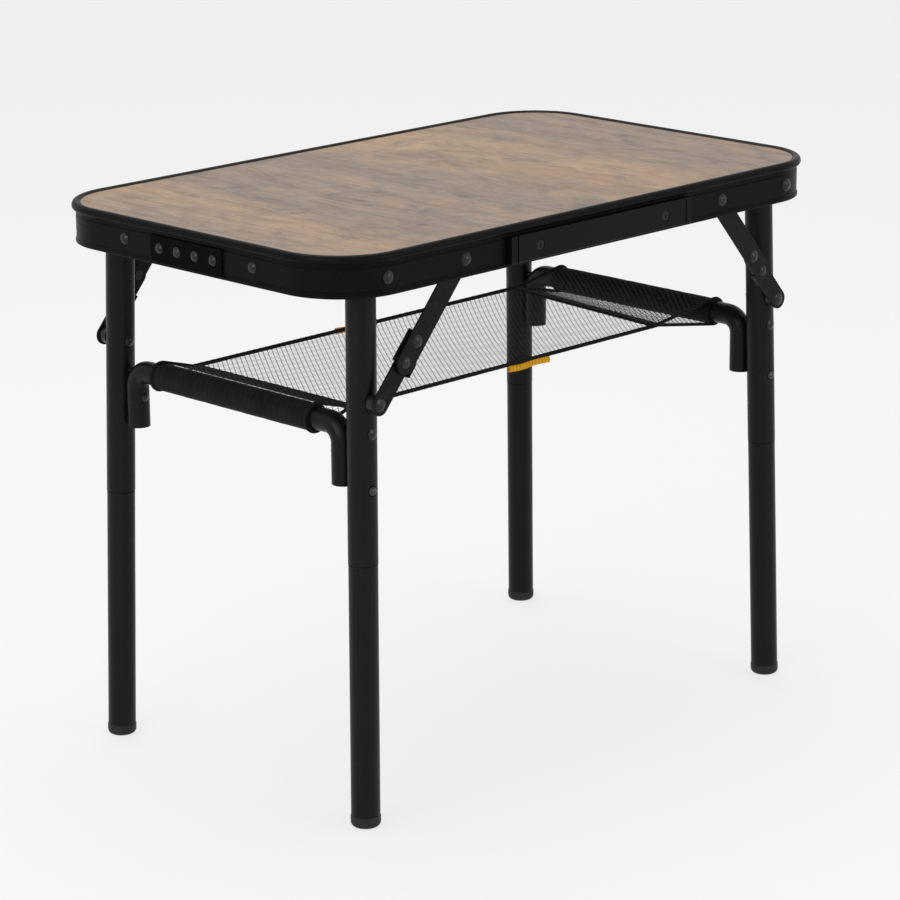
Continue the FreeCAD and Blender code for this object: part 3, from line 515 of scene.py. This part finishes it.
# ---------------------------------------------------------------- shelf binding and seams
# Folded tape is sewn over the net's raw edges as a round piping. It runs along both long sides,
# then round the ends of each loop. A flat hem with two stitch rows closes each loop.
piping_r, loop_piping_r = 0.0018, 0.0014
piping_y = net_half + 0.0002 + piping_r


def swept(path, radii, sides=12, closed=False):
    """Tube round a path: at each point a ring of the given radius, square to the line that joins
    the points before and after."""
    ahead = np.roll(path, -1, axis=0) - np.roll(path, 1, axis=0)
    if not closed:
        ahead[0], ahead[-1] = path[1] - path[0], path[-1] - path[-2]
    ahead /= np.linalg.norm(ahead, axis=1, keepdims=True)
    side = np.cross(ahead, np.array([0.0, 1.0, 0.0]) if closed else np.array([0.0, 0.0, 1.0]))
    side /= np.linalg.norm(side, axis=1, keepdims=True)
    up = np.cross(side, ahead)
    angle = np.linspace(0, 2 * np.pi, sides + 1)[:-1]
    ring = side[:, None] * np.cos(angle)[None, :, None] + up[:, None] * np.sin(angle)[None, :, None]
    points = path[:, None] + ring * np.asarray(radii).reshape(-1, 1, 1)
    count = len(path)
    index = np.arange(count * sides).reshape(count, sides)
    index = np.concatenate([index, index[:, :1]], axis=1)
    if closed:
        index = np.concatenate([index, index[:1]])
    quads = np.stack([index[:-1, :-1], index[:-1, 1:], index[1:, 1:], index[1:, :-1]], -1).reshape(-1, 4)
    return points.reshape(-1, 3), quads[:, ::-1]


def teardrop(side, y, proud):
    """Closed path round a loop's end: straight out along the upper layer, in an arc round the
    bar, and straight back along the lower layer, proud of the net's edge."""
    seam = seam_at(side, y)
    t = np.linspace(0, 1, 24)[:, None]
    top_x, top_z = tangent(side, y, True)
    low_x, low_z = tangent(side, y, False)
    seam_point = np.array([seam, y, net_z])
    top = np.array([top_x, y, top_z])
    low = np.array([low_x, y, low_z])
    centre = np.array([side * abs(bar_x), y, bar_z])
    first = math.atan2(top[2] - centre[2], (top[0] - centre[0]) * -side)
    sweep = np.linspace(first, 2 * np.pi - first, 48)
    radius = np.linalg.norm(top - centre)
    arc = centre + radius * np.stack([-side * np.cos(sweep), 0 * sweep, np.sin(sweep)], -1)
    path = np.concatenate([seam_point + (top - seam_point) * t[:-1], arc, low + (seam_point - low) * t[1:-1]])
    path[:, 1] += proud
    return path


tape = woven("black_binding_tape", (0.004, 0.004, 0.004), (0.01, 0.0098, 0.0095), 1500.0, 0.0001)
hem_half, hem_thick = 0.0045, 0.0011
hem_sides = 20
stitch_length = 0.0032
for side, name in ((-1, "left"), (1, "right")):
    parts = []
    for sy in (-1, 1):
        x = np.linspace(seam_at(side, sy * net_half), middle_x, 90)
        crimp = piping_r * (1 + 0.05 * np.sin(x * 2100.0)) - 0.00008
        path = np.stack([x, np.full_like(x, sy * piping_y), np.full_like(x, net_z)], -1)
        parts.append(swept(path, crimp))
        ends = teardrop(side, sy * net_half, sy * 0.0012)
        parts.append(swept(ends, np.full(len(ends), loop_piping_r), closed=True))
    y = np.linspace(-net_half, net_half, 150)
    seam = seam_at(side, y)
    turn = np.linspace(0, 2 * np.pi, hem_sides + 1)[:-1]
    dips = np.sin(y * 2 * np.pi / stitch_length)[:, None] ** 2
    stitch = 1 + 0.3 * dips * (np.abs(np.cos(turn))[None] > 0.5)
    hem_x = hem_half * np.sign(np.cos(turn)) * np.abs(np.cos(turn)) ** 0.5
    hem_z = hem_thick * np.sign(np.sin(turn)) * np.abs(np.sin(turn)) ** 0.5
    rings = np.stack([seam[:, None] + hem_x[None], y[:, None] + 0 * hem_x[None],
                      net_z + hem_z[None] * stitch], axis=-1)
    index = np.arange(len(y) * hem_sides).reshape(-1, hem_sides)
    index = np.concatenate([index, index[:, :1]], axis=1)
    quads = np.stack([index[:-1, :-1], index[1:, :-1], index[1:, 1:], index[:-1, 1:]], -1).reshape(-1, 4)
    parts.append((rings.reshape(-1, 3), quads))
    offsets = np.cumsum([0] + [len(p) for p, _ in parts[:-1]])
    binding = mesh_piece("shelf_binding_" + name, np.concatenate([p for p, _ in parts]),
                         np.concatenate([f + o for (_, f), o in zip(parts, offsets)]))
    binding.data.materials.append(tape)
    net, flat_length = net_pieces[name]
    for piece, node, slot in ((net, "shelf_net", "net_mesh"),
                              (binding, "shelf_edge_binding", "binding_tape")):
        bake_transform(piece)
        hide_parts(node)

# ---------------------------------------------------------------- pull tabs
# A short length of yellow ribbon is folded into a flat loop and caught behind the piping, one
# on each long side. The front one hangs a little below it, and its open end shows. Each wall
# is an oval tube along x, with a slight sine wave.
ribbon = woven("yellow_ribbon", (0.5, 0.22, 0.006), (0.72, 0.36, 0.012), 1700.0, 0.00012, 0.7)
tab_half, ribbon_sides = 0.0235, 32
tab_parts = []
for sy, centre, drop in ((-1, 0.0005, 0.0037), (1, -0.0165, 0.0002)):
    x = centre + np.linspace(-tab_half, tab_half, 60)
    turn = np.linspace(0, 2 * np.pi, ribbon_sides + 1)[:-1]
    wave = 0.0002 * np.sin((x - centre) * 160.0)
    shells = []
    for wall in (0.0, 0.0006):
        ry, rz = 0.0013 - wall, 0.0026 - wall
        y = sy * (piping_y + 0.0011) + ry * np.cos(turn)[None] + wave[:, None]
        z = net_z - drop + rz * np.sin(turn)[None] + 2 * wave[:, None]
        shells.append(np.stack([x[:, None] + 0 * y, y, z], -1))
    shell = np.concatenate([shells[0], shells[1][::-1]])
    index = np.arange(len(shell) * ribbon_sides).reshape(-1, ribbon_sides)
    index = np.concatenate([index, index[:, :1]], axis=1)
    index = np.concatenate([index, index[:1]])
    quads = np.stack([index[:-1, :-1], index[:-1, 1:], index[1:, 1:], index[1:, :-1]], -1).reshape(-1, 4)
    tab_parts.append((shell.reshape(-1, 3), quads[:, ::-1]))
tabs = mesh_piece("shelf_tab_ribbons", np.concatenate([p for p, _ in tab_parts]),
                  np.concatenate([tab_parts[0][1], tab_parts[1][1] + len(tab_parts[0][0])]))
tabs.data.materials.append(ribbon)
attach(tabs, "tabletop")
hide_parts("shelf_pull_tabs")

# ---------------------------------------------------------------- floor, light and camera
# A plain pale floor and backdrop, three large soft lights, and the camera at table height.
tiles = np.linspace(-30, 30, 9)
floor = grid_piece("studio_floor",
                   np.stack(np.meshgrid(tiles, tiles, [0.0], indexing="ij"), -1).reshape(9, 9, 3))
floor_white, nodes, links, shader = plain_finish("pale_floor", (0.14,) * 3, 0.9, 0.0, 0.0)
shader.inputs["Emission Color"].default_value = (1.0, 1.0, 1.0, 1.0)
shader.inputs["Emission Strength"].default_value = 0.73
floor.data.materials.append(floor_white)

world = bpy.data.worlds.new("studio_air")
world.use_nodes = True
world.node_tree.nodes["Background"].inputs["Color"].default_value = (1.0, 1.0, 1.0, 1.0)
world.node_tree.nodes["Background"].inputs["Strength"].default_value = 0.9
bpy.context.scene.world = world


def soft_light(name, place, size, power):
    """Square area light of the given size aimed at the table's middle."""
    light = bpy.data.lights.new(name, "AREA")
    light.size = size
    light.energy = power
    lamp = bpy.data.objects.new(name, light)
    bpy.context.collection.objects.link(lamp)
    aim = Vector((0.0, 0.0, 0.3)) - Vector(place)
    lamp.matrix_world = Matrix.Translation(place) @ aim.to_track_quat("-Z", "Y").to_matrix().to_4x4()


soft_light("overhead_light", (0.2, 0.5, 2.2), 1.6, 26.0)
soft_light("left_light", (-2.0, -0.4, 1.2), 1.2, 16.0)
soft_light("right_light", (0.6, -2.1, 1.0), 1.0, 10.0)

azimuth, elevation, roll = 0.78785, 0.27999, -0.00809
forward = np.array([math.sin(azimuth) * math.cos(elevation), math.cos(azimuth) * math.cos(elevation),
                    -math.sin(elevation)])
level = np.cross(forward, [0, 0, 1])
level /= np.linalg.norm(level)
upright = np.cross(level, forward)
right = math.cos(roll) * level + math.sin(roll) * upright
up = -math.sin(roll) * level + math.cos(roll) * upright
lens = bpy.data.cameras.new("table_camera")
lens.sensor_width = 36.0
lens.lens = 133.59
lens.clip_end = 200.0
camera = bpy.data.objects.new("table_camera", lens)
bpy.context.collection.objects.link(camera)
pose = np.eye(4)
pose[:3, 0], pose[:3, 1], pose[:3, 2] = right, up, -forward
pose[:3, 3] = (-1.87851383, -1.87106229, 0.98281639)
camera.matrix_world = Matrix(pose.tolist())
bpy.context.scene.camera = camera
bpy.context.scene.view_settings.view_transform = "Standard"
